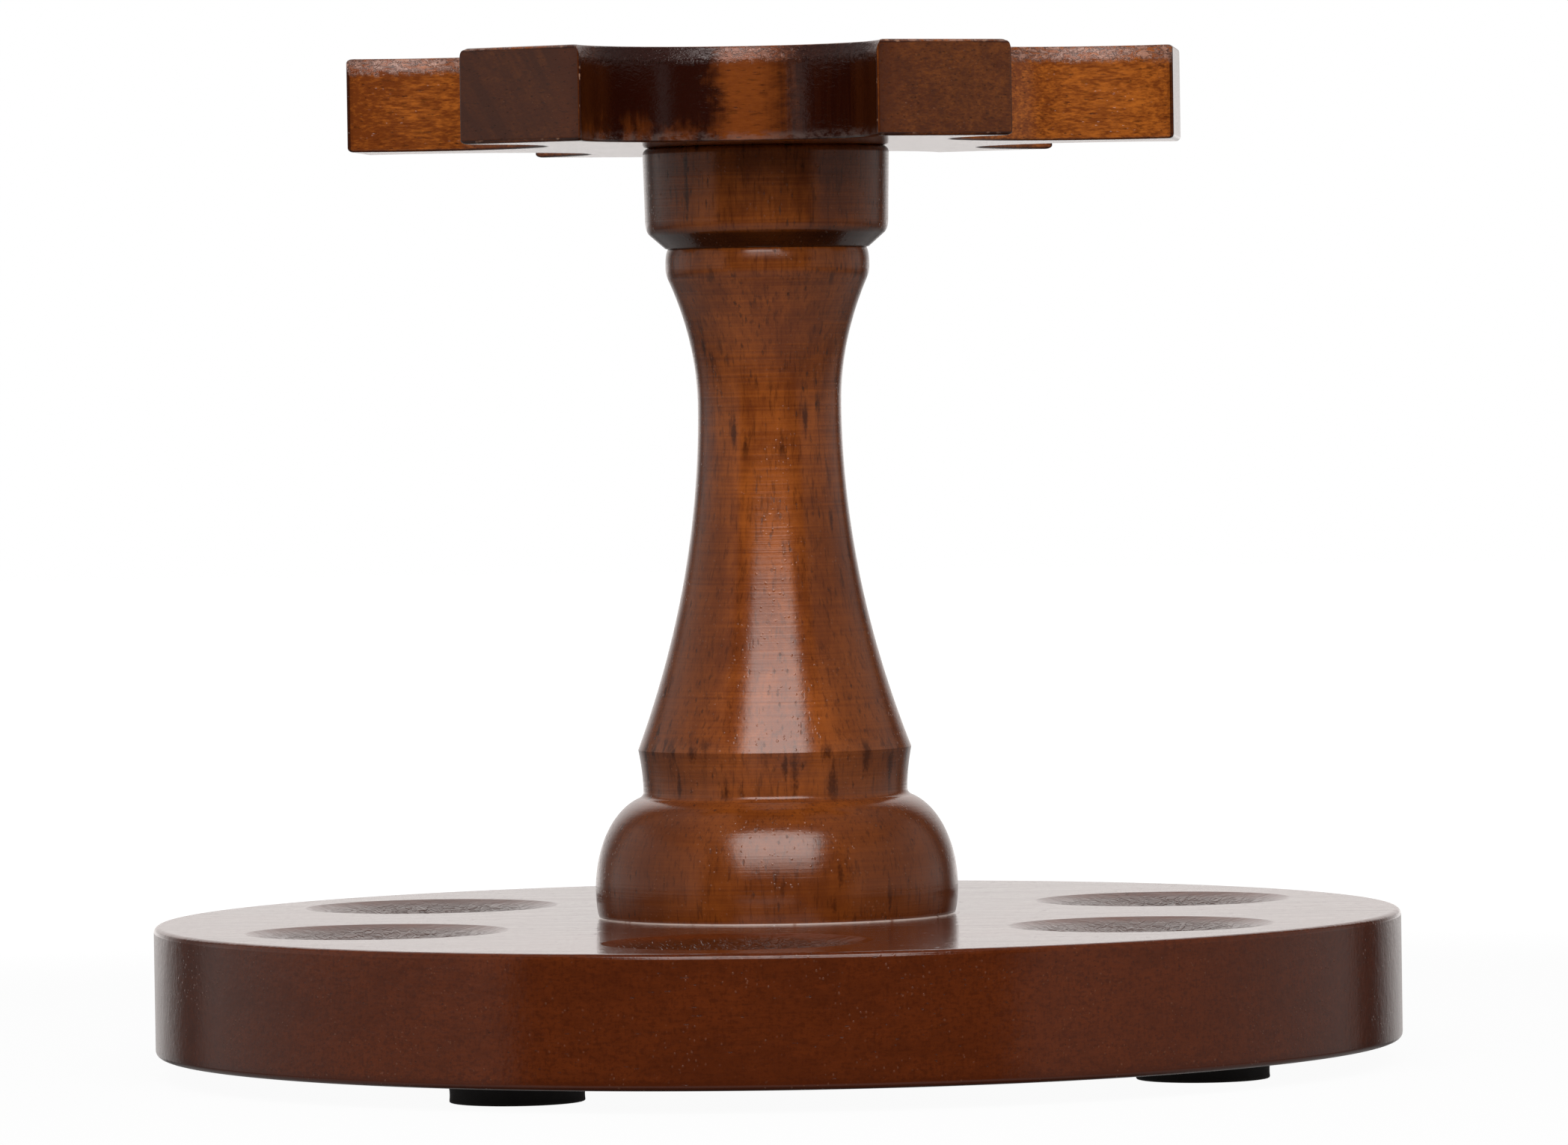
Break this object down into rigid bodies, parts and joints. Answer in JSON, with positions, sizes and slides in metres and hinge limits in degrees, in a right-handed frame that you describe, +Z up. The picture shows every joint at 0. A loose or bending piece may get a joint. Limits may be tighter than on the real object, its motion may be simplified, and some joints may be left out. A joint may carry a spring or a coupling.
{
  "type": "pipe stand",
  "caption": "Round wooden stand for smoking pipes: a recessed base disc, a turned column and a star-shaped top plate with half-round notches.",
  "frame": {"origin": "the middle of the stand on its axis, at the level of the surface it stands on", "axes": "+Z up along the column; the front recess and the notch above it face -Y, and two arms of the top plate lie along X"},
  "size_m": [0.165, 0.165, 0.134],
  "materials": {
    "base_wood": "red-brown stained hardwood under glossy lacquer",
    "column_wood": "red-brown stained hardwood under glossy lacquer, with dark pores along its length",
    "plate_wood": "amber-brown stained hardwood under glossy lacquer",
    "bare_wood": "plain hardwood, not stained",
    "zinced_steel": "bright zinc plate",
    "black_rubber": "soft matt black rubber",
    "adhesive": "pale double-sided adhesive layer"
  },
  "bodies": {
    "root": {"base_disc": "base_wood", "column": "column_wood", "top_plate": "plate_wood", "plate_dowel": "bare_wood", "column_screw": "zinced_steel", "column_screw_washer": "zinced_steel", "foot_pad_1": "black_rubber", "foot_pad_2": "black_rubber", "foot_pad_3": "black_rubber", "foot_pad_4": "black_rubber", "foot_adhesive_1": "adhesive", "foot_adhesive_2": "adhesive", "foot_adhesive_3": "adhesive", "foot_adhesive_4": "adhesive"}
  },
  "joints": []
}
